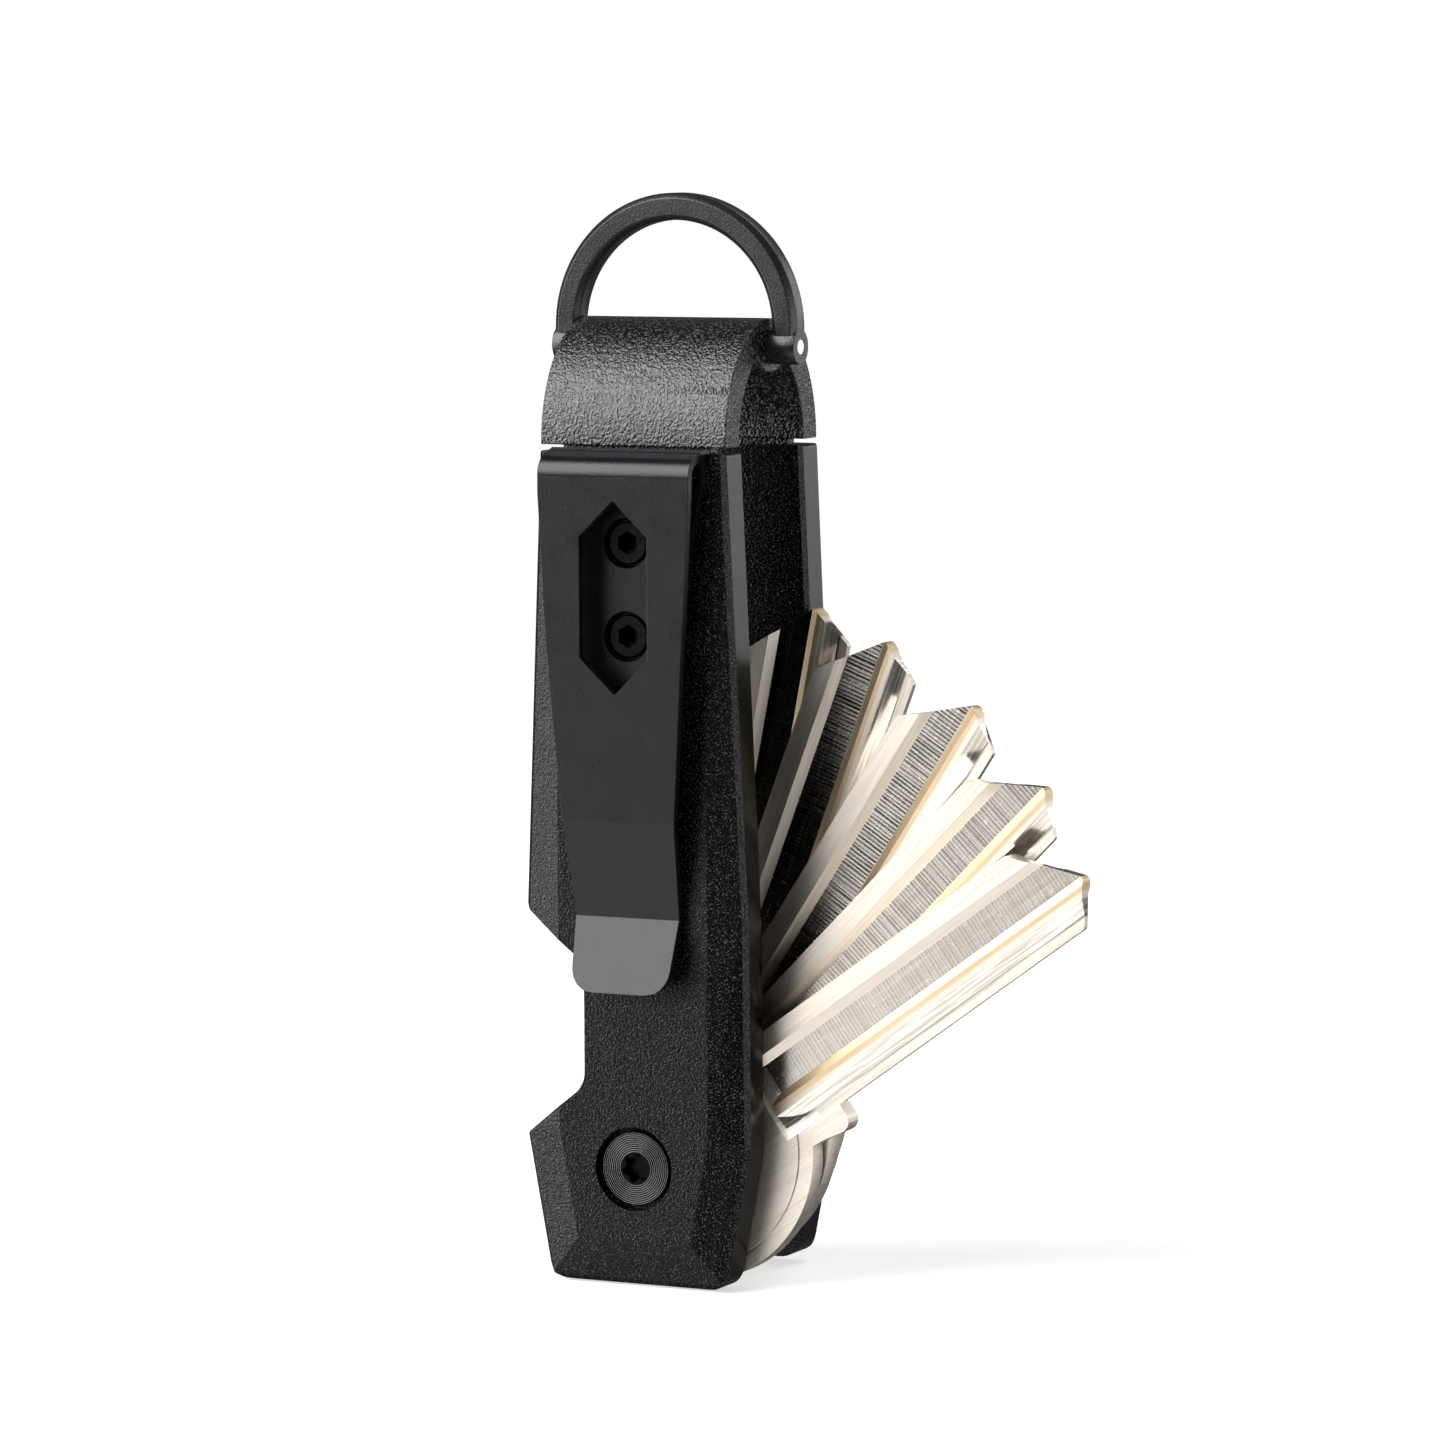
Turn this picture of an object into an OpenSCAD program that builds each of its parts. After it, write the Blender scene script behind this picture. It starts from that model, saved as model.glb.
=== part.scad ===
// Key organiser: two machined plates clamp a fanned stack of keys on one pivot post.
// A formed loop bracket joins the plates at the top and carries a D-ring. A folded spring
// clip is screwed to the front plate, and that plate also has a bottle-opener notch.
//
// Axes: X across the plates, +Y from the clip side to the rear plate, +Z towards the D-ring.
// Origin: middle of the gap under the pocket clip's fold, on the middle plane of the body.

/* [Plates] */
// Width of both plates at their top edge
plate_top_w = 17.4; // [16:0.1:19]
// Width of both plates at their widest, just above the pivot
plate_max_w = 21.1; // [20:0.1:23]
// Thickness of each plate
plate_t = 3.8; // [3.6:0.1:5]
// Height of the top edge above the pivot axis
plate_above = 60.6; // [59:0.1:64]
// Depth of the bottom edge below the pivot axis
plate_below = 10; // [9:0.1:12]
// Slope of the shallow facets round each outer face
facet_tilt = 11; // [6:0.5:14]

/* [Bottle opener] */
// Distance of the notch's straight edge from the middle plane
notch_edge_x = 4.6; // [4:0.1:6]
// Height of the opener's hook tip above the pivot axis
hook_z = 2.35; // [1:0.05:3]
// Height of the notch's upper corner above the pivot axis
notch_top_z = 21.8; // [20:0.1:24]

/* [Keys] */
// Thickness of one key
key_t = 2; // [1.8:0.1:2.4]
// Height of a key's blade
blade_h = 8.7; // [8:0.1:9.4]
// Distance from the pivot hole to the tip of a key
key_reach = 48.15; // [44:0.05:52]
// Radius of a key's round bow
bow_r = 11.5; // [10.5:0.1:12]
// Angle of the frontmost key above the X axis
fan_first = 35.7; // [0:0.1:60]
// Thickness of the spacing washers between the keys
washer_t = 0.2; // [0.1:0.01:0.3]

/* [D-ring] */
// Inner radius of the D-ring
ring_inner_r = 9.1; // [9:0.02:10]
// Radial width of the D-ring's bar
ring_bar_w = 2.3; // [2:0.02:3]
// Depth of the D-ring's bar
ring_bar_t = 2.4; // [2:0.1:3]
// Height of the D-ring's pin above the pivot axis
ring_pin_z = 69.2; // [69:0.1:70]

/* [Pocket clip] */
// Thickness of the clip's spring steel
clip_t = 0.7; // [0.6:0.05:0.8]
// Gap between the clip's two leaves at the fold
clip_gap = 1.8; // [1.6:0.1:2.4]
// Distance from the middle of the fold's gap down to the pivot axis
pivot_drop = 58.4; // [58:0.1:59]

/* [Hidden] */
$fn = 64;
eps = 0.01;
far = 100;

// Stack along Y, measured from the front plate's outer face
key_count = 5;
washer_play = 0.02;
key_pitch = key_t + washer_t + 2 * washer_play;
key_gap = key_count * key_t + (key_count + 1) * (washer_t + 2 * washer_play);
body_t = 2 * plate_t + key_gap;
mid_y = body_t / 2;
front_y = clip_gap / 2 + clip_t;

// Key fan: every key's angle above X, and how far each one sits back on the post
fan_angles = [fan_first, 45.5, 57.1, 69.4, 79];
key_slack = [-0.95, 0, 0, 0, 0];

// Plate details
top_hw = plate_top_w / 2;
max_hw = plate_max_w / 2;
wide_z = 2.3;
bend_hw = 10.42;
bend_z = 21.5;
bottom_hw = 8.2;
rear_below = plate_below - 0.5;
flat_hw = 7;
flat_low_hw = 5.3;
flat_low_z = -6.2;
edge_w = 0.43;
inner_inset = 0.36;
hook_hw = 10.4;
notch_slope = 0.777;

// Pivot hardware
post_r = 2.6;
post_hole_r = 2.65;
thread_r = 1.45;
head_r = 3.15;
head_h = 1.1;
head_sink = 0.35;
counterbore_r = 3.6;
counterbore_d = head_h + head_sink;
post_len = body_t - 2 * counterbore_d - 0.1;
washer_r = 6;

// Loop bracket
loop_hw = 8.65;
loop_gap = 0.5;
loop_outer = [body_t / 2 - 0.57, 10.5];
loop_inner = [loop_outer.x - 2.7, 8];
loop_base_z = plate_above + loop_gap;
boss_r = 3.3;
boss_z = ring_pin_z + 1.1;
tongue_hw = 6.9;
tongue_t = 1.4;
tongue_y = 2.05;
tongue_len = 19.4;
slot_play = 0.05;

// D-ring and its pin
ring_centre_z = ring_pin_z + 1.5;
ring_outer_r = ring_inner_r + ring_bar_w;
foot_r = 1.5;
foot_clear = 0.12;
pin_r = 0.63;
pin_play = 0.05;
pin_fit = 0.02;

// Screws through the clip base, the plates and the bracket's tongues
screw_z = [53.05, 45.2];
shank_r = 1.25;
screw_hole_d = plate_t - 0.5;
shank_end = screw_hole_d - 0.1;
small_head_r = 1.85;
small_head_h = 0.7;
hex_r = 1.02;
hex_end = 0.9;
dimple_r = 2.15;
dimple_d = 0.6;

// Pocket clip, front view half widths at heights from the middle of the fold's gap
clip_front = [
    [7.05, 3], [7.05, -1], [6.5, -11.4], [5.2, -29.4], [4.85, -37], [4.5, -43.15]
];
leaf_y = (clip_gap + clip_t) / 2;
leaf_line = [[-leaf_y, 0], [-leaf_y, -14.4], [-0.62, -28.6], [1.12, -36.9], [-0.85, -43.3]];
bend_r = 1.35;
bend_start_z = 0.35;
roof_tilt = 20;
roof_end_y = 0.62;
seam_gap = 0.1;
base_len = 17.4;

// Key outline and section details
hole_r = 3.6;
bow_centre = [4.6, -0.7];
blade_top = 3.64;
shoulder_u = 18.6;
groove_start = 12.6;
saw_r = 8;
saw_depth = 0.8;
rim_r = bow_r - 1.3;
keyway_over = 0.06;

// ---------- helpers ----------

function unit(v) = v / norm(v);

// Arc that replaces the corner at b, between its neighbours a and c
function corner_arc(a, b, c, r, steps) =
    let (
        u = unit(a - b), v = unit(c - b),
        half = acos(u * v) / 2,
        centre = b + unit(u + v) * r / sin(half),
        from = b + u * r / tan(half) - centre,
        to = b + v * r / tan(half) - centre,
        start = atan2(from.y, from.x),
        turn = (atan2(to.y, to.x) - start + 540) % 360 - 180
    )
    [for (i = [0:steps]) centre + r * [cos(start + turn * i / steps), sin(start + turn * i / steps)]];

// Closed outline from [x, z, corner radius] entries
function rounded(corners, steps = 8) =
    let (n = len(corners))
    [
        for (i = [0:n - 1])
            let (
                a = [corners[(i + n - 1) % n].x, corners[(i + n - 1) % n].y],
                b = [corners[i].x, corners[i].y],
                c = [corners[(i + 1) % n].x, corners[(i + 1) % n].y],
                r = corners[i].z
            )
            each r > 0 ? corner_arc(a, b, c, r, steps) : [b]
    ];

// Half ellipse from +X to -X, standing on its base line
function half_ellipse(radii, base, steps = 44) =
    [for (i = [0:steps]) [radii.x * cos(180 * i / steps), base + radii.y * sin(180 * i / steps)]];

// Strip of constant thickness along a bent line
function strip_side(line, offset) = [
    for (i = [0:len(line) - 1])
        let (
            before = i == 0 ? line[1] - line[0] : line[i] - line[i - 1],
            after = i == len(line) - 1 ? before : line[i + 1] - line[i],
            n1 = unit([-before.y, before.x]),
            n2 = unit([-after.y, after.x]),
            m = unit(n1 + n2)
        )
        line[i] + m * offset / (m * n1)
];

function strip(line, t) = concat(
    strip_side(line, t / 2),
    [for (i = [len(line) - 1:-1:0]) strip_side(line, -t / 2)[i]]
);

// Moves to the pivot axis, with Y = 0 on the front plate's outer face
module at_pivot() {
    translate([0, front_y, -pivot_drop]) children();
}

// Front-view outline (X, Z) given depth from y0 to y1
module slab(y0, y1) {
    translate([0, y1, 0]) rotate([90, 0, 0]) linear_extrude(y1 - y0) children();
}

// Side-view outline (Y, Z) given width from -hw to hw
module across(hw) {
    translate([-hw, 0, 0]) rotate([90, 0, 90]) linear_extrude(2 * hw) children();
}

// Cylinder along Y from y0 to y1
module rod(r, y0, y1) {
    translate([0, y1, 0]) rotate([90, 0, 0]) cylinder(r = r, h = y1 - y0);
}

// Cutter that takes away everything in front of a plane through the line p-q on the face
// at depth y. The plane falls away from the face on the right of the line by the tilt.
module bevel(p, q, tilt, y = 0, overrun = far) {
    length = norm(q - p);
    translate([p.x, y, p.y])
        rotate([0, -atan2(q.y - p.y, q.x - p.x), 0])
            rotate([tilt, 0, 0])
                translate([-overrun, -far / 4, -far / 4])
                    cube([length + 2 * overrun, far / 4, far / 4]);
}

// ---------- plates ----------

function plate_corners() = [
    [top_hw, plate_above, 0.3],
    [-top_hw, plate_above, 0.3],
    [-bend_hw, bend_z, 0],
    [-max_hw, wide_z, 0.8],
    [-bottom_hw, -rear_below, 2.2],
    [bottom_hw, -rear_below, 2.2],
    [max_hw, wide_z, 0.8],
    [bend_hw, bend_z, 0]
];

function opener_corners() = let (
    edge_hw = top_hw + (bend_hw - top_hw) * (plate_above - notch_top_z) / (plate_above - bend_z),
    rise = (hook_hw - notch_edge_x) * notch_slope,
    drop = (edge_hw - notch_edge_x) * notch_slope
) [
    [top_hw, plate_above, 0.3],
    [-top_hw, plate_above, 0.3],
    [-edge_hw, notch_top_z, 0.9],
    [-notch_edge_x, notch_top_z - drop, 1.2],
    [-notch_edge_x, hook_z + rise, 2.2],
    [-hook_hw, hook_z, 0.35],
    [-bottom_hw, -plate_below, 1.8],
    [bottom_hw, -plate_below, 1.8],
    [max_hw, wide_z, 0.8],
    [bend_hw, bend_z, 0]
];

// How far inside the edge a 45 degree chamfer's plane meets the face at Y = 0, when the
// shallow facet in front of it is this wide
function chamfer_inset(facet_w) = edge_w + (facet_w - edge_w) * tan(facet_tilt);

// 45 degree chamfers along both upper side edges, at three insets from top to widest
module side_chamfers(top_in, bend_in, wide_in) {
    top = [top_hw - top_in, plate_above];
    bend = [bend_hw - bend_in, bend_z];
    wide = [max_hw - wide_in, wide_z];
    bevel(bend, top, 45);
    bevel(wide, bend, 45);
    bevel([-top.x, top.y], [-bend.x, bend.y], 45);
    bevel([-bend.x, bend.y], [-wide.x, wide.y], 45);
}

// Shallow facets and narrow edge chamfers on the face at Y = 0
module face_bevels(below) {
    low = [flat_low_hw, flat_low_z];
    side_in = chamfer_inset(max_hw - flat_hw);
    low_in = chamfer_inset(flat_low_z + below);
    bevel([flat_hw, 0], [flat_hw, plate_above], facet_tilt);
    bevel([-flat_hw, plate_above], [-flat_hw, 0], facet_tilt);
    bevel(low, [flat_hw, 3], facet_tilt);
    bevel([-flat_hw, 3], [-low.x, low.y], facet_tilt);
    bevel([-low.x, low.y], low, facet_tilt);
    side_chamfers(chamfer_inset(top_hw - flat_hw), chamfer_inset(bend_hw - flat_hw), side_in);
    bevel([bottom_hw - side_in, -below], [max_hw - side_in, wide_z], 45);
    bevel([-max_hw + side_in, wide_z], [-bottom_hw + side_in, -below], 45);
    bevel([-bottom_hw, low_in - below], [bottom_hw, low_in - below], 45);
}

// Everything both plates have: outline, facets, slot, screw holes and pivot hole.
// Y = 0 is the outer face and Y = plate_t looks at the keys.
module plate_body(corners, below) {
    difference() {
        slab(0, plate_t) polygon(rounded(corners));
        face_bevels(below);
        translate([0, plate_t, 0]) mirror([0, 1, 0])
            side_chamfers(inner_inset, inner_inset, inner_inset);
        slot_half = tongue_t / 2 + slot_play;
        translate([-tongue_hw - slot_play, tongue_y - slot_half, plate_above - tongue_len - slot_play])
            cube([2 * (tongue_hw + slot_play), 2 * slot_half, far]);
        for (z = screw_z) translate([0, 0, z]) rod(shank_r + slot_play, -1, screw_hole_d);
        rod(post_hole_r, -1, plate_t + 1);
        rod(counterbore_r, -1, counterbore_d);
    }
}

module front_plate() {
    color("dimgray") at_pivot() difference() {
        plate_body(opener_corners(), plate_below);
        for (z = screw_z) translate([0, 0, z]) rod(dimple_r + 0.45, -1, dimple_d + slot_play);
    }
}

module rear_plate() {
    color("dimgray") at_pivot() translate([0, body_t, 0]) mirror([0, 1, 0]) difference() {
        plate_body(plate_corners(), rear_below);
        for (z = screw_z) translate([0, 0, z]) rod(small_head_r + 0.15, -1, small_head_h + 0.15);
    }
}

// ---------- loop bracket ----------

// One leg's tongue, drawn on the front side
module tongue() {
    difference() {
        translate([-tongue_hw, tongue_y - tongue_t / 2, plate_above - tongue_len])
            cube([2 * tongue_hw, tongue_t, tongue_len + loop_gap + 1]);
        for (z = screw_z) translate([0, 0, z]) rod(shank_r + slot_play, 0, plate_t);
    }
}

module loop_bracket() {
    color("black") at_pivot() {
        difference() {
            translate([0, mid_y, 0]) across(loop_hw) difference() {
                polygon(half_ellipse(loop_outer, loop_base_z));
                difference() {
                    polygon(half_ellipse(loop_inner, loop_base_z - eps));
                    translate([0, boss_z]) circle(r = boss_r);
                }
            }
            translate([-far / 2, mid_y, ring_pin_z]) rotate([0, 90, 0])
                cylinder(r = pin_r + pin_play, h = far);
        }
        tongue();
        translate([0, body_t, 0]) mirror([0, 1, 0]) tongue();
    }
}

// ---------- D-ring ----------

// Bar section with chamfered edges, centred on its own middle
module bar_section() {
    w = ring_bar_w / 2;
    t = ring_bar_t / 2;
    c = 0.45;
    polygon([
        [-w + c, -t], [w - c, -t], [w, -t + c], [w, t - c],
        [w - c, t], [-w + c, t], [-w, t - c], [-w, -t + c]
    ]);
}

module d_ring() {
    bar_x = ring_inner_r + ring_bar_w / 2;
    color("black") at_pivot() translate([0, mid_y, 0]) difference() {
        union() {
            translate([0, 0, ring_centre_z]) rotate([90, 0, 0])
                rotate_extrude(angle = 180, $fn = 128) translate([bar_x, 0]) bar_section();
            for (side = [-1, 1]) {
                translate([side * bar_x, 0, ring_pin_z])
                    linear_extrude(ring_centre_z - ring_pin_z) bar_section();
                mirror([side < 0 ? 1 : 0, 0, 0])
                    translate([loop_hw + foot_clear, 0, ring_pin_z]) rotate([0, 90, 0])
                        cylinder(r = foot_r, h = ring_outer_r - loop_hw - foot_clear);
            }
        }
        translate([-far / 2, 0, ring_pin_z]) rotate([0, 90, 0])
            cylinder(r = pin_r + pin_fit, h = far);
    }
}

module ring_pin() {
    half = ring_outer_r - 0.02;
    color("silver") at_pivot() translate([-half, mid_y, ring_pin_z]) rotate([0, 90, 0])
        cylinder(r = pin_r, h = 2 * half);
}

// ---------- pocket clip ----------

// Middle line of the fold in side view: up the leaf, round the bend and along the sloping
// roof. roof_at gives the roof's point at a depth.
function bend_arc(steps = 16) = [
    for (i = [0:steps])
        let (a = 180 - (90 - roof_tilt) * i / steps)
        [bend_r - leaf_y, bend_start_z] + bend_r * [cos(a), sin(a)]
];
function roof_at(y) =
    let (start = bend_arc()[len(bend_arc()) - 1])
    [y, start.y + (y - start.x) * tan(roof_tilt)];

// Front view of the clip: tapered sides and a round-cornered tip
module clip_outline() {
    last = len(clip_front) - 1;
    right = [for (i = [0:last]) [clip_front[i].x, clip_front[i].y, i == last ? 2.2 : 0]];
    left = [for (i = [last:-1:0]) [-clip_front[i].x, clip_front[i].y, i == last ? 2.2 : 0]];
    polygon(rounded(concat(right, left)));
}

module window() {
    w = 3.15;
    polygon([[0, -1.65], [w, -4.7], [w, -14.9], [0, -17.95], [-w, -14.9], [-w, -4.7]]);
}

module pocket_clip_leaf() {
    color("black") intersection() {
        union() {
            across(clip_front[0].x) polygon(strip(concat(bend_arc(), [roof_at(roof_end_y)]), clip_t));
            across(clip_front[0].x)
                polygon(strip(concat([[-leaf_y, bend_start_z + eps]], leaf_line), clip_t));
        }
        slab(-10, 10) difference() {
            clip_outline();
            window();
        }
    }
}

module pocket_clip_base() {
    hw = clip_front[0].x;
    low_hw = 4.9;
    color("black") difference() {
        union() {
            across(hw) {
                polygon(strip([roof_at(roof_end_y + seam_gap), roof_at(leaf_y)], clip_t));
                polygon(strip([roof_at(leaf_y), [leaf_y, 0]], clip_t));
            }
            translate([-hw, roof_at(leaf_y).x, roof_at(leaf_y).y]) rotate([0, 90, 0])
                cylinder(r = clip_t / 2, h = 2 * hw);
            slab(clip_gap / 2, front_y) polygon(rounded([
                [hw, eps, 0], [-hw, eps, 0], [-5.7, -6.7, 0], [-low_hw, -base_len, 1.5],
                [low_hw, -base_len, 1.5], [5.7, -6.7, 0]
            ]));
            for (z = screw_z) translate([0, 0, z - pivot_drop])
                rod(dimple_r + 0.35, front_y - eps, front_y + dimple_d);
        }
        for (z = screw_z) translate([0, 0, z - pivot_drop]) {
            translate([0, front_y + 0.3, 0]) rotate([90, 0, 0])
                cylinder(r1 = small_head_r + 0.1, r2 = dimple_r, h = clip_t + 0.3 + eps);
            rod(shank_r + 0.1, -1, front_y + 2);
        }
    }
}

// ---------- screws and post ----------

// Button-head screw along Y: the head's bearing face is at Y = 0, its top towards -Y
module small_screw(shank_len) {
    difference() {
        union() {
            rod(small_head_r, -0.45, 0);
            translate([0, -0.45, 0]) rotate([90, 0, 0])
                cylinder(r1 = small_head_r, r2 = small_head_r - 0.18, h = small_head_h - 0.45);
            rod(shank_r, -eps, shank_len);
        }
        translate([0, hex_end, 0]) rotate([90, 30, 0]) cylinder(r = hex_r, h = 3, $fn = 6);
    }
}

module clip_screw(z) {
    bearing = 0.3;
    color("black") at_pivot() translate([0, bearing, z]) small_screw(shank_end - bearing);
}

module rear_screw(z) {
    bearing = small_head_h + 0.15;
    color("black") at_pivot() translate([0, body_t - bearing, z]) mirror([0, 1, 0])
        small_screw(shank_end - bearing);
}

module clip_screw_upper() { clip_screw(screw_z[0]); }
module clip_screw_lower() { clip_screw(screw_z[1]); }
module rear_screw_upper() { rear_screw(screw_z[0]); }
module rear_screw_lower() { rear_screw(screw_z[1]); }

// Hollow post that the keys turn on, with a thread at each end
module pivot_post() {
    color("dimgray") at_pivot() translate([0, mid_y, 0]) difference() {
        rod(post_r, -post_len / 2, post_len / 2);
        rod(thread_r + 0.03, -far / 2, far / 2);
    }
}

// Section of the head: a flat disc whose top is cut with fine concentric grooves
function head_profile() =
    let (rings = 9, first = 1.45, pitch = (head_r - first - 0.1) / rings, depth = 0.04)
    concat(
        [[0, 0], [head_r, 0], [head_r, head_h - 0.12], [head_r - 0.1, head_h]],
        [
            for (i = [rings - 1:-1:0])
                each [[first + (i + 0.5) * pitch, head_h - depth], [first + i * pitch, head_h]]
        ],
        [[0, head_h]]
    );

// Six-lobed socket
module lobed_socket(r) {
    circle(r = r * 0.78, $fn = 24);
    for (a = [0:60:300]) rotate(a + 15) translate([r * 0.78, 0]) circle(r = r * 0.24, $fn = 16);
}

// Pivot screw along Y with its head's top towards -Y and its bearing face at Y = 0
module pivot_screw() {
    difference() {
        union() {
            rotate([90, 0, 0]) rotate_extrude() polygon(head_profile());
            rod(thread_r, -eps, 5);
        }
        translate([0, eps - head_h + 0.9, 0]) rotate([90, 0, 0]) linear_extrude(2) lobed_socket(1.25);
    }
}

module front_pivot_screw() {
    color("black") at_pivot() translate([0, counterbore_d, 0]) pivot_screw();
}

module rear_pivot_screw() {
    color("black") at_pivot() translate([0, body_t - counterbore_d, 0]) mirror([0, 1, 0]) pivot_screw();
}

// ---------- keys ----------

module key_washer(n) {
    y = plate_t + washer_play + (n - 1) * key_pitch;
    color("silver") at_pivot() difference() {
        rod(washer_r, y, y + washer_t);
        rod(post_hole_r, y - 1, y + washer_t + 1);
    }
}

// Front view of a key's blade, which lies along +X from the pivot hole at the origin
module blade_outline() {
    low = blade_top - blade_h;
    tip_low = key_reach - 2.55;
    polygon(rounded([
        [5, blade_top, 0],
        [key_reach - 4.7, blade_top, 0.25],
        [key_reach, -1.6, 0.5],
        [tip_low, low, 0.3],
        [5, low, 0]
    ], 5));
}

// Stop shoulder below the root of the blade
module shoulder_outline() {
    low = blade_top - blade_h;
    polygon(rounded([
        [10, low + 0.5, 0], [shoulder_u, low + 0.5, 0], [shoulder_u, low - 2.4, 1],
        [shoulder_u - 3, low - 1.8, 1], [10, low - 1.3, 0]
    ], 5));
}

// Space the keyway cutter clears from the front, in (Y, Z), with the front face at Y = 0
module front_keyway() {
    low = blade_top - blade_h;
    polygon([
        [0, 2], [0.6, 1.25], [0.6, -1.4], [0.15, -2.06], [0.15, -2.9],
        [0.8, -4.1], [0.8, low - keyway_over], [-1, low - keyway_over], [-1, 2]
    ]);
}

// Space cleared from the rear, drawn the same way
module rear_keyway() {
    low = blade_top - blade_h;
    polygon([
        [0, 3], [0.6, 2.5], [0.6, 0.5], [0.1, -0.1], [0.1, -2.3],
        [0.5, -2.8], [0.5, low - keyway_over], [-1, low - keyway_over], [-1, 3]
    ]);
}

// Path of the saw that cuts a keyway from the face at Y = 0: it ends in the saw's radius
module saw_path() {
    run = sqrt(saw_r * saw_r - (saw_r - saw_depth) * (saw_r - saw_depth));
    centre = groove_start + run;
    translate([centre, saw_depth - saw_r, -far / 2]) cylinder(r = saw_r, h = far);
    translate([centre, -far + saw_depth, -far / 2]) cube(far);
}

module keyway() {
    intersection() {
        rotate([90, 0, 90]) linear_extrude(far) children();
        saw_path();
    }
}

module rim_groove(y) {
    translate([bow_centre.x, y, bow_centre.y]) difference() {
        rod(rim_r + 0.08, -0.12, 0.12);
        rod(rim_r - 0.08, -1, 1);
    }
}

module key_blank() {
    difference() {
        union() {
            translate([bow_centre.x, 0, bow_centre.y]) rod(bow_r, 0, key_t);
            slab(0, key_t) blade_outline();
            slab(0, key_t) shoulder_outline();
        }
        rod(hole_r, -1, key_t + 1);
        keyway() front_keyway();
        translate([0, key_t, 0]) mirror([0, 1, 0]) keyway() rear_keyway();
        difference() {
            union() {
                rim_groove(0);
                rim_groove(key_t);
            }
            translate([groove_start - 1.5, -1, -4.6]) cube([20, key_t + 2, 20]);
        }
    }
}

module key(n) {
    y = plate_t + washer_t + 2 * washer_play + (n - 1) * key_pitch;
    color("tan") at_pivot() translate([0, y, 0]) rotate([0, -fan_angles[n - 1], 0])
        translate([key_slack[n - 1], 0, 0]) key_blank();
}

// ---------- drawing ----------

front_plate();
rear_plate();
loop_bracket();
d_ring();
ring_pin();
pocket_clip_leaf();
pocket_clip_base();
clip_screw_upper();
clip_screw_lower();
rear_screw_upper();
rear_screw_lower();
pivot_post();
front_pivot_screw();
rear_pivot_screw();
for (n = [1:key_count + 1]) key_washer(n);
for (n = [1:key_count]) key(n);
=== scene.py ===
"""Key organiser: looks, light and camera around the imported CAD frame."""

import math

import bpy
from mathutils import Matrix, Vector


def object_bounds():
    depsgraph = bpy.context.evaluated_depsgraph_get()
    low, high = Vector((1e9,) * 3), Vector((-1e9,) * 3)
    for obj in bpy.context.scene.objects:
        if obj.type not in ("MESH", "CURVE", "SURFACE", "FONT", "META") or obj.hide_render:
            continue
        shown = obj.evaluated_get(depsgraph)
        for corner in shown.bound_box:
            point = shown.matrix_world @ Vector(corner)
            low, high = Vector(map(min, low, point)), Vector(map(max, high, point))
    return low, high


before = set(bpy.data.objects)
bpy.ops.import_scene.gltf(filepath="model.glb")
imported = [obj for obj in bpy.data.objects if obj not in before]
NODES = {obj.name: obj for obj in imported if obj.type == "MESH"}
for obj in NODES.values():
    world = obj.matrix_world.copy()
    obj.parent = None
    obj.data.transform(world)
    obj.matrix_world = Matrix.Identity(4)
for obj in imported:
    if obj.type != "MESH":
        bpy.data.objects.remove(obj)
cad_lo, cad_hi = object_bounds()

MM = 0.001
scene = bpy.context.scene

# The pivot's place and the keys' angles above +X, in the CAD frame
PIVOT = Vector((0, 11.12, -58.4)) * MM
KEY_ANGLES = {1: 35.7, 2: 45.5, 3: 57.1, 4: 69.4, 5: 79.0}

# Painted reflections: how bright each key's milled floor is painted, and how strongly its cutter lines
# show, set key by key to come close to the reflections on it, so they aren't known differences between
# the keys
PAINTED_FLOOR_REFLECTION = {1: 0.84, 2: 0.74, 3: 0.50, 4: 0.30, 5: 0.10}
LINE_CONTRAST = {1: 0.05, 2: 0.25, 3: 0.75, 4: 0.9, 5: 0.4}

# The keys' zones in millimetres: along the blade from the pivot, then across it
BLADE_START = 13.0
FLOOR_ZONE = (-1.38, 1.28)
STEP_ZONE = (-2.5, -1.4)
FLANK_ZONE = (-4.25, -2.95)
# Distance from one cutter line to the next
CUTTER_STEP = 0.34
# Key 1 sits this far back on the post, so its zones start nearer to the pivot
KEY_1_SHIFT = 0.95

# The pivot screws' turned rings, in millimetres
RINGS_START = 1.45
RINGS_END = 3.05
RING_PITCH = (RINGS_END - RINGS_START) / 9
# About half a pitch, which puts each crest in the middle of its turn
HALF_RING = 0.09


# ---------- node helpers ----------


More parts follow.
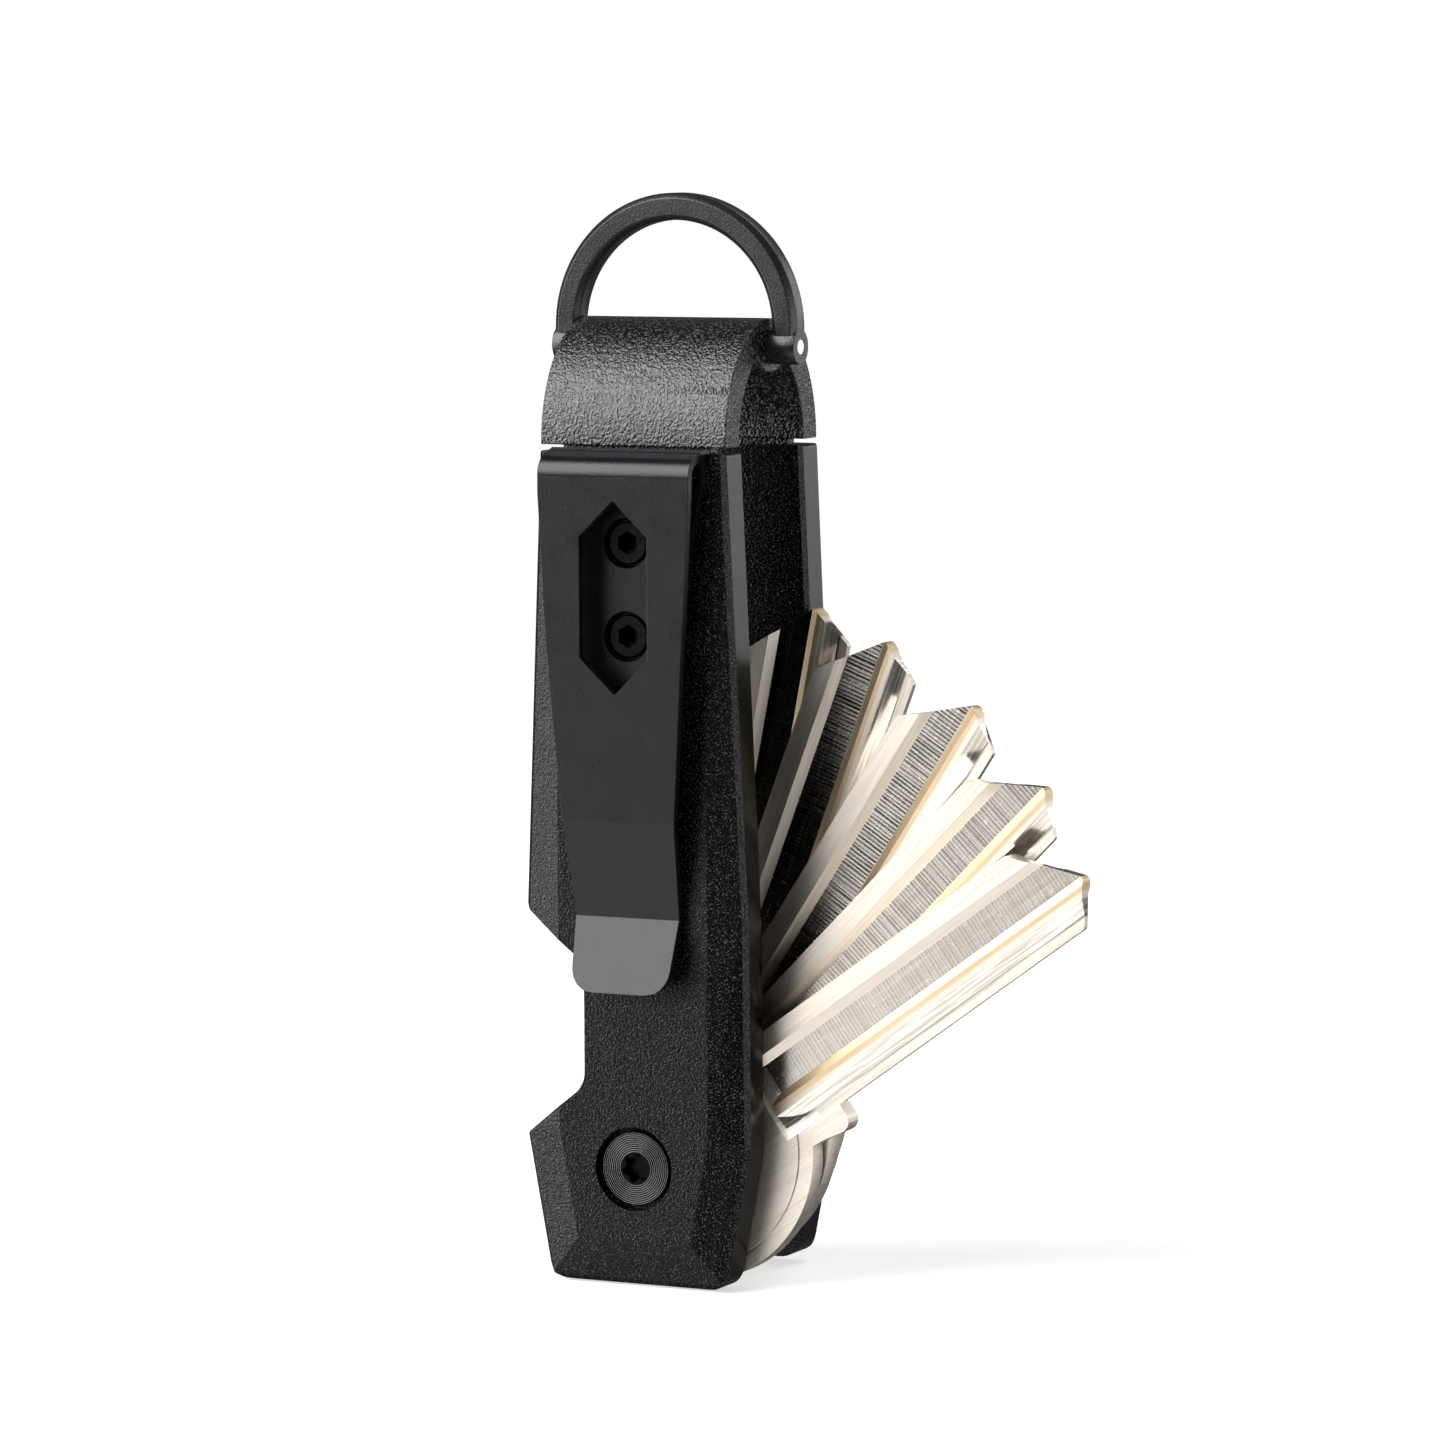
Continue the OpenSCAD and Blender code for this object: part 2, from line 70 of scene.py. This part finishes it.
class Graph:
    """Small wrapper that adds nodes to a material and links them."""

    def __init__(self, name):
        self.material = bpy.data.materials.new(name)
        self.material.use_nodes = True
        self.tree = self.material.node_tree
        self.tree.nodes.clear()
        self.out = self.tree.nodes.new("ShaderNodeOutputMaterial")
        self.shader = self.tree.nodes.new("ShaderNodeBsdfPrincipled")
        self.tree.links.new(self.shader.outputs["BSDF"], self.out.inputs["Surface"])
        source = self.tree.nodes.new("ShaderNodeTexCoord")
        self.coords = source.outputs["Object"]
        self.normals = source.outputs["Normal"]

    def add(self, kind):
        return self.tree.nodes.new("ShaderNode" + kind)

    def put(self, socket, value):
        """Links a socket to a node's output, or sets its plain value."""
        if isinstance(value, bpy.types.NodeSocket):
            self.tree.links.new(value, socket)
        else:
            socket.default_value = value

    def set(self, **values):
        for key, value in values.items():
            self.put(self.shader.inputs[key.replace("_", " ")], value)

    def math(self, operation, a, b=None, c=None):
        node = self.add("Math")
        node.operation = operation
        for socket, value in zip(node.inputs, (a, b, c)):
            if value is not None:
                self.put(socket, value)
        return node.outputs[0]

    def mapped(self, location=(0, 0, 0), rotation=(0, 0, 0), scale=(1, 1, 1), vector=None):
        node = self.add("Mapping")
        self.put(node.inputs["Vector"], vector or self.coords)
        node.inputs["Location"].default_value = location
        node.inputs["Rotation"].default_value = rotation
        node.inputs["Scale"].default_value = scale
        return node.outputs["Vector"]

    def combine(self, x, y, z):
        node = self.add("CombineXYZ")
        for socket, value in zip(node.inputs, (x, y, z)):
            self.put(socket, value)
        return node.outputs[0]

    def split(self, vector):
        node = self.add("SeparateXYZ")
        self.put(node.inputs[0], vector)
        return node.outputs

    def length(self, vector):
        node = self.add("VectorMath")
        node.operation = "LENGTH"
        self.put(node.inputs[0], vector)
        return node.outputs["Value"]

    def noise(self, scale, detail=2.0, rough=0.5, vector=None):
        node = self.add("TexNoise")
        self.put(node.inputs["Vector"], vector or self.coords)
        node.inputs["Scale"].default_value = scale
        node.inputs["Detail"].default_value = detail
        node.inputs["Roughness"].default_value = rough
        return node.outputs["Fac"]

    def remap(self, value, from_lo, from_hi, to_lo, to_hi, smooth=False):
        node = self.add("MapRange")
        node.interpolation_type = "SMOOTHSTEP" if smooth else "LINEAR"
        node.inputs["From Min"].default_value = from_lo
        node.inputs["From Max"].default_value = from_hi
        node.inputs["To Min"].default_value = to_lo
        node.inputs["To Max"].default_value = to_hi
        self.put(node.inputs["Value"], value)
        return node.outputs["Result"]

    def band(self, value, lo, hi, soft):
        """1 where value lies between lo and hi, fading out over soft."""
        up = self.remap(value, lo - soft / 2, lo + soft / 2, 0, 1, smooth=True)
        down = self.remap(value, hi - soft / 2, hi + soft / 2, 1, 0, smooth=True)
        return self.math("MULTIPLY", up, down)

    def mix(self, fac, a, b):
        node = self.add("Mix")
        node.data_type = "RGBA"
        self.put(node.inputs[0], fac)
        self.put(node.inputs[6], a)
        self.put(node.inputs[7], b)
        return node.outputs[2]

    def bump(self, height, distance, strength=1.0):
        node = self.add("Bump")
        node.inputs["Strength"].default_value = strength
        node.inputs["Distance"].default_value = distance
        self.put(node.inputs["Height"], height)
        return node.outputs["Normal"]


def rgb(r, g, b):
    return (r, g, b, 1.0)


# ---------- materials ----------


def blasted_black():
    """Black anodised aluminium: blasted faces with a fine grain and painted glints, smooth side walls.
    """
    g = Graph("blasted_black")
    # Walls that face sideways, along X, stay smooth and get no painted glints
    sideways = g.math("ABSOLUTE", g.split(g.normals)[0])
    blasted = g.remap(sideways, 0.86, 0.92, 1, 0)
    grain = g.noise(5200, 1.0, 0.5)
    glint_noise = g.noise(7600, 0.0, 0.5)
    patches = g.noise(900, 2.0, 0.5)
    # Painted highlight: light grey flecks in the base colour stand in for the glints of the blasted
    # grain
    painted_glint = g.math("MULTIPLY", g.remap(glint_noise, 0.61, 0.74, 0, 1, smooth=True), blasted)
    g.set(
        Base_Color=g.mix(painted_glint, rgb(0.0003, 0.0004, 0.0006), rgb(0.034, 0.035, 0.038)),
        Metallic=0.0,
        Roughness=g.remap(patches, 0.3, 0.7, 0.21, 0.25),
        Specular_IOR_Level=0.18,
        Normal=g.bump(g.math("MULTIPLY", grain, blasted), 0.00006),
    )
    return g.material


def coarse_black():
    """Black powder finish with a coarse orange-peel grain, the tops of its lumps painted lighter as
    glints.
    """
    g = Graph("coarse_black")
    lumps = g.noise(4200, 1.5, 0.5)
    fine = g.noise(8000, 2.0, 0.5)
    # Painted highlight: the tops of the lumps are painted light grey in the base colour
    glinting_crests = g.remap(lumps, 0.54, 0.66, 0, 1)
    height = g.math("ADD", lumps, g.math("MULTIPLY", fine, 0.25))
    g.set(
        Base_Color=g.mix(glinting_crests, rgb(0.0005, 0.0005, 0.0007), rgb(0.055, 0.055, 0.057)),
        Metallic=0.0,
        Roughness=g.remap(fine, 0.3, 0.7, 0.15, 0.20),
        Specular_IOR_Level=0.50,
        Normal=g.bump(height, 0.00013),
    )
    return g.material


def satin_black():
    """Smooth satin black coating on spring steel, with faint mottling."""
    g = Graph("satin_black")
    mottle = g.noise(420, 3.0, 0.6)
    fine = g.noise(6500, 2.0, 0.5)
    g.set(
        Base_Color=g.mix(mottle, rgb(0.0008, 0.0012, 0.0020), rgb(0.0026, 0.0032, 0.0044)),
        Metallic=0.0,
        Roughness=g.remap(mottle, 0.3, 0.7, 0.26, 0.30),
        Specular_IOR_Level=0.30,
        Normal=g.bump(fine, 0.00002, 0.8),
    )
    return g.material


def ring_black():
    """Black coated steel of the D-ring, with a fine grain."""
    g = Graph("ring_black")
    fine = g.noise(5200, 2.5, 0.55)
    cloudy = g.noise(350, 2.0, 0.5)
    g.set(
        Base_Color=g.mix(cloudy, rgb(0.004, 0.0042, 0.0045), rgb(0.009, 0.0093, 0.010)),
        Metallic=0.0,
        Roughness=g.remap(cloudy, 0.3, 0.7, 0.24, 0.32),
        Specular_IOR_Level=0.4,
        Normal=g.bump(fine, 0.00004, 0.7),
    )
    return g.material


def screw_black():
    """Black oxide on the small screws, a little worn."""
    g = Graph("screw_black")
    fine = g.noise(7000, 2.0, 0.5)
    wear = g.noise(1500, 3.0, 0.6)
    worn = g.remap(wear, 0.55, 0.75, 0, 1)
    g.set(
        Base_Color=g.mix(worn, rgb(0.001, 0.001, 0.0011), rgb(0.006, 0.006, 0.0062)),
        Metallic=0.0,
        Roughness=g.remap(wear, 0.3, 0.7, 0.16, 0.24),
        Specular_IOR_Level=0.16,
        Normal=g.bump(fine, 0.00001, 0.4),
    )
    return g.material


def turned_black():
    """Black pivot screw with painted highlights on the crests of its turned rings."""
    g = Graph("turned_black")
    local = g.mapped(location=(-PIVOT.x, 0, -PIVOT.z))
    radius = g.length(g.mapped(scale=(1000, 0, 1000), vector=local))
    turns = g.math("DIVIDE", g.math("SUBTRACT", radius, RINGS_START - HALF_RING), RING_PITCH)
    crest = g.band(g.math("FRACT", turns), 0.38, 0.62, 0.12)
    # Painted highlight: the crests inside the ring area are painted light grey in the base colour,
    # standing in for glints on the turned rings
    worn = g.math("MULTIPLY", crest, g.band(radius, RINGS_START - 0.05, RINGS_END + 0.01, 0.05))
    # This noise varies the painted highlight's brightness and the roughness
    wear = g.noise(1500, 3.0, 0.6)
    glint_colour = g.mix(wear, rgb(0.08, 0.08, 0.082), rgb(0.16, 0.16, 0.163))
    g.set(
        Base_Color=g.mix(worn, rgb(0.001, 0.001, 0.0011), glint_colour),
        Metallic=0.0,
        Roughness=g.remap(wear, 0.3, 0.7, 0.18, 0.26),
        Specular_IOR_Level=0.08,
    )
    return g.material


def steel(name, color, rough, line_scale):
    """Plain steel with fine lines, or an even grain where line_scale is the same each way."""
    g = Graph(name)
    lines = g.noise(1.0, 3.0, 0.6, vector=g.mapped(scale=line_scale))
    g.set(
        Base_Color=g.mix(lines, rgb(*[c * 0.85 for c in color]), rgb(*color)),
        Metallic=1.0,
        Roughness=g.remap(lines, 0.3, 0.7, rough * 0.8, rough * 1.25),
        Normal=g.bump(lines, 0.00001, 0.5),
    )
    return g.material


def key_nickel(number):
    """Nickel on brass: drawn lands, a milled floor and a polished lower flank."""
    g = Graph(f"key_nickel_{number}")
    angle = math.radians(KEY_ANGLES[number])
    floor_reflection_shade = PAINTED_FLOOR_REFLECTION[number]
    contrast = LINE_CONTRAST[number]

    # u runs along the blade from the pivot, v across it, both in millimetres
    local = g.mapped(location=(-PIVOT.x, 0, -PIVOT.z))
    turned = g.mapped(rotation=(0, angle, 0), scale=(1000, 1000, 1000), vector=local)
    u, depth, v = g.split(turned)
    if number == 1:
        u = g.math("ADD", u, KEY_1_SHIFT)
    blade = g.remap(u, BLADE_START - 0.1, BLADE_START + 0.1, 0, 1)
    floor = g.math("MULTIPLY", g.band(v, *FLOOR_ZONE, 0.06), blade)
    step = g.math("MULTIPLY", g.band(v, *STEP_ZONE, 0.3), blade)
    flank = g.math("MULTIPLY", g.band(v, *FLANK_ZONE, 0.3), blade)

    # Drawn lines run along the blade
    along = g.combine(g.math("MULTIPLY", u, 0.12), depth, g.math("MULTIPLY", v, 5.0))
    drawn = g.noise(1.0, 4.0, 0.65, vector=along)

    # The cutter's lines run across it, at a nearly even distance
    across = g.combine(g.math("MULTIPLY", u, 4.0), number * 3.7, g.math("MULTIPLY", v, 0.12))
    uneven = g.noise(1.0, 2.0, 0.6, vector=across)
    strokes = g.math("ADD", g.math("DIVIDE", u, CUTTER_STEP), g.math("MULTIPLY", uneven, 0.9))
    cuts = g.band(g.math("FRACT", strokes), 0.2, 0.8, 0.3)
    milled = g.math("MULTIPLY_ADD", cuts, 0.24, g.math("MULTIPLY", uneven, 0.74))
    pits = g.noise(2600, 3.0, 0.6)

    # Painted reflection: each key's floor line colours are scaled by its painted floor brightness
    bright = rgb(*[min(floor_reflection_shade * (1 + contrast), 0.95) * c for c in (0.80, 0.75, 0.69)])
    dull = rgb(*[floor_reflection_shade * (1 - contrast) * c for c in (0.70, 0.63, 0.55)])
    lands = g.mix(g.remap(drawn, 0.35, 0.65, 0, 1), rgb(0.56, 0.50, 0.43), rgb(0.68, 0.63, 0.57))
    lines = g.mix(g.remap(milled, 0.38, 0.60, 0, 1), dull, bright)
    streaks = g.mix(g.remap(drawn, 0.42, 0.6, 0, 1), rgb(0.44, 0.40, 0.34), rgb(0.76, 0.73, 0.69))
    base = g.mix(floor, lands, lines)
    base = g.mix(flank, base, streaks)
    base = g.mix(g.math("MULTIPLY", step, 0.75), base, rgb(0.50, 0.36, 0.19))

    rough = g.remap(drawn, 0.3, 0.7, 0.38, 0.50)
    rough = g.math("SUBTRACT", rough, g.math("MULTIPLY", flank, 0.28))
    rough = g.math("SUBTRACT", rough, g.math("MULTIPLY", floor, 0.20))
    rough = g.math("ADD", rough, g.math("MULTIPLY", g.remap(pits, 0.6, 0.75, 0, 1), 0.12))

    mill_marks = g.math("MULTIPLY", g.remap(milled, 0.3, 0.7, 0, 1), g.math("MULTIPLY", floor, contrast))
    drawn_part = g.math("SUBTRACT", 0.35, g.math("MULTIPLY", floor, 0.35))
    height = g.math("ADD", mill_marks, g.math("MULTIPLY", drawn, drawn_part))
    g.set(Base_Color=base, Metallic=1.0, Roughness=rough, Normal=g.bump(height, 0.000025, 0.6))
    return g.material


def give(material, *names):
    for name in names:
        data = NODES[name].data
        data.materials.clear()
        data.materials.append(material)


SMALL_SCREWS = ("clip_screw_upper", "clip_screw_lower", "rear_screw_upper", "rear_screw_lower")

give(blasted_black(), "front_plate", "rear_plate")
give(coarse_black(), "loop_bracket")
give(satin_black(), "pocket_clip_leaf", "pocket_clip_base")
give(ring_black(), "d_ring")
give(screw_black(), *SMALL_SCREWS)
give(turned_black(), "front_pivot_screw", "rear_pivot_screw")
give(steel("pin_steel", (0.72, 0.72, 0.73), 0.3, (3000, 3000, 3000)), "ring_pin")
give(steel("post_steel", (0.38, 0.38, 0.39), 0.35, (300, 6000, 300)), "pivot_post")
washers = [f"key_washer_{n}" for n in range(1, 7)]
give(steel("shim_steel", (0.55, 0.53, 0.5), 0.35, (1500, 1500, 1500)), *washers)
for n in KEY_ANGLES:
    give(key_nickel(n), f"key_{n}")


# ---------- edges ----------


WELD_DISTANCE = 0.002 * MM
SHARP_ANGLE = 28


def soften(width, *names):
    """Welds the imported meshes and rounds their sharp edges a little."""
    for name in names:
        obj = NODES[name]
        weld = obj.modifiers.new("weld", "WELD")
        weld.merge_threshold = WELD_DISTANCE
        bevel = obj.modifiers.new("edge", "BEVEL")
        bevel.width = width * MM
        bevel.segments = 2
        bevel.limit_method = "ANGLE"
        bevel.angle_limit = math.radians(SHARP_ANGLE)
        bevel.harden_normals = False
        bevel.use_clamp_overlap = True


soften(0.06, "front_plate", "rear_plate", "pocket_clip_base")
soften(0.10, "loop_bracket")
soften(0.07, "d_ring")
soften(0.08, "pocket_clip_leaf", *[f"key_{n}" for n in KEY_ANGLES])
soften(0.04, *SMALL_SCREWS, "ring_pin")


# ---------- stage, light and camera ----------

# The floor lies this far below the object
FLOOR_GAP = 0.2 * MM
# The floor turns from grey to white between these distances from its middle, in metres
FADE_START = 0.12
FADE_END = 0.7
STAGE_RADIUS = 3
STAGE_WHITE = 1.02

# Broad soft glows: azimuth, elevation, inner and outer radius in degrees, radiance
GLOWS = [
    (-42, 34, 24, 32, 9.0),
    (-58, -2, 8, 20, 7.0),
    (-32, -22, 10, 22, 1.35),
    (10, -60, 22, 36, 1.7),
    (72, -2, 12, 26, 3.2),
    (150, 55, 14, 26, 3.5),
    (152, 11, 9, 20, 2.4),
    (132, -12, 10, 24, 1.1),
    (-42, -26, 6, 18, 0.5),
]
AMBIENT = 0.10

# The camera, solved from straight edges of the plates and keys; back points away from the object
SENSOR_WIDTH = 36
LENS = 162.0
CAMERA_PLACE = Vector((244.98, -483.11, 33.02)) * MM
CAMERA_RIGHT = Vector((0.899, 0.438, -0.0046))
CAMERA_BACK = Vector((0.4363, -0.8945, 0.0981))


def floor_material():
    """Pale grey near the object, turning into plain white further out."""
    g = Graph("floor_pale")
    far = g.remap(g.length(g.coords), FADE_START, FADE_END, 0, 1, smooth=True)
    mottle = g.noise(30.0, 2.0, 0.5)
    grey = g.mix(mottle, rgb(0.50, 0.50, 0.50), rgb(0.54, 0.54, 0.54))
    g.set(
        Base_Color=g.mix(far, grey, rgb(0, 0, 0)),
        Roughness=0.9,
        Specular_IOR_Level=0.0,
        Emission_Color=g.mix(far, rgb(0.60, 0.60, 0.60), rgb(STAGE_WHITE, STAGE_WHITE, STAGE_WHITE)),
        Emission_Strength=1.0,
    )
    return g.material


def dome_material():
    material = bpy.data.materials.new("dome_white")
    material.use_nodes = True
    tree = material.node_tree
    tree.nodes.clear()
    out = tree.nodes.new("ShaderNodeOutputMaterial")
    emission = tree.nodes.new("ShaderNodeEmission")
    emission.inputs["Strength"].default_value = STAGE_WHITE
    emission.inputs["Color"].default_value = rgb(1, 1, 1)
    tree.links.new(emission.outputs[0], out.inputs["Surface"])
    return material


def make_stage():
    """A pale floor that fades into a white dome."""
    place = (0, 0, cad_lo.z - FLOOR_GAP)
    bpy.ops.mesh.primitive_circle_add(vertices=96, radius=STAGE_RADIUS, fill_type="NGON", location=place)
    floor = bpy.context.object
    floor.name = "floor"
    floor.data.materials.append(floor_material())
    floor.visible_glossy = False
    floor.visible_shadow = False
    bpy.ops.mesh.primitive_uv_sphere_add(segments=64, ring_count=32, radius=STAGE_RADIUS)
    dome = bpy.context.object
    dome.name = "dome"
    dome.data.materials.append(dome_material())
    dome.visible_diffuse = False
    dome.visible_glossy = False
    dome.visible_shadow = False
    dome.visible_transmission = False


def direction(azimuth, elevation):
    """Unit vector away from the object; azimuth 0 is -Y and 90 is +X."""
    a, e = math.radians(azimuth), math.radians(elevation)
    return Vector((math.sin(a) * math.cos(e), -math.cos(a) * math.cos(e), math.sin(e)))


def make_world():
    """A dark studio with broad soft glows, so that black finishes get something to mirror."""
    world = bpy.data.worlds.new("studio")
    scene.world = world
    world.use_nodes = True
    tree = world.node_tree
    background = tree.nodes["Background"]
    background.inputs["Color"].default_value = rgb(1, 1, 1)
    coords = tree.nodes.new("ShaderNodeTexCoord").outputs["Generated"]

    def sum_of(a, b):
        node = tree.nodes.new("ShaderNodeMath")
        node.operation = "ADD"
        tree.links.new(a, node.inputs[0])
        if isinstance(b, float):
            node.inputs[1].default_value = b
        else:
            tree.links.new(b, node.inputs[1])
        return node.outputs[0]

    def glow(azimuth, elevation, inner, outer, radiance):
        dot = tree.nodes.new("ShaderNodeVectorMath")
        dot.operation = "DOT_PRODUCT"
        tree.links.new(coords, dot.inputs[0])
        dot.inputs[1].default_value = direction(azimuth, elevation)
        ramp = tree.nodes.new("ShaderNodeMapRange")
        ramp.interpolation_type = "SMOOTHSTEP"
        tree.links.new(dot.outputs["Value"], ramp.inputs["Value"])
        ramp.inputs["From Min"].default_value = math.cos(math.radians(outer))
        ramp.inputs["From Max"].default_value = math.cos(math.radians(inner))
        ramp.inputs["To Min"].default_value = 0.0
        ramp.inputs["To Max"].default_value = radiance
        return ramp.outputs["Result"]

    glows = [glow(*values) for values in GLOWS]
    total = glows[0]
    for more in [*glows[1:], AMBIENT]:
        total = sum_of(total, more)
    tree.links.new(total, background.inputs["Strength"])


def make_camera():
    data = bpy.data.cameras.new("camera")
    data.sensor_width = SENSOR_WIDTH
    data.lens = LENS
    data.clip_start = 0.01
    data.clip_end = 50
    camera = bpy.data.objects.new("camera", data)
    scene.collection.objects.link(camera)
    right = CAMERA_RIGHT.normalized()
    back = CAMERA_BACK.normalized()
    up = back.cross(right).normalized()
    right = up.cross(back)
    place = Matrix((right, up, back)).transposed().to_4x4()
    place.translation = CAMERA_PLACE
    camera.matrix_world = place
    scene.camera = camera


make_stage()
make_world()
make_camera()
scene.view_settings.view_transform = "Standard"
scene.view_settings.look = "None"
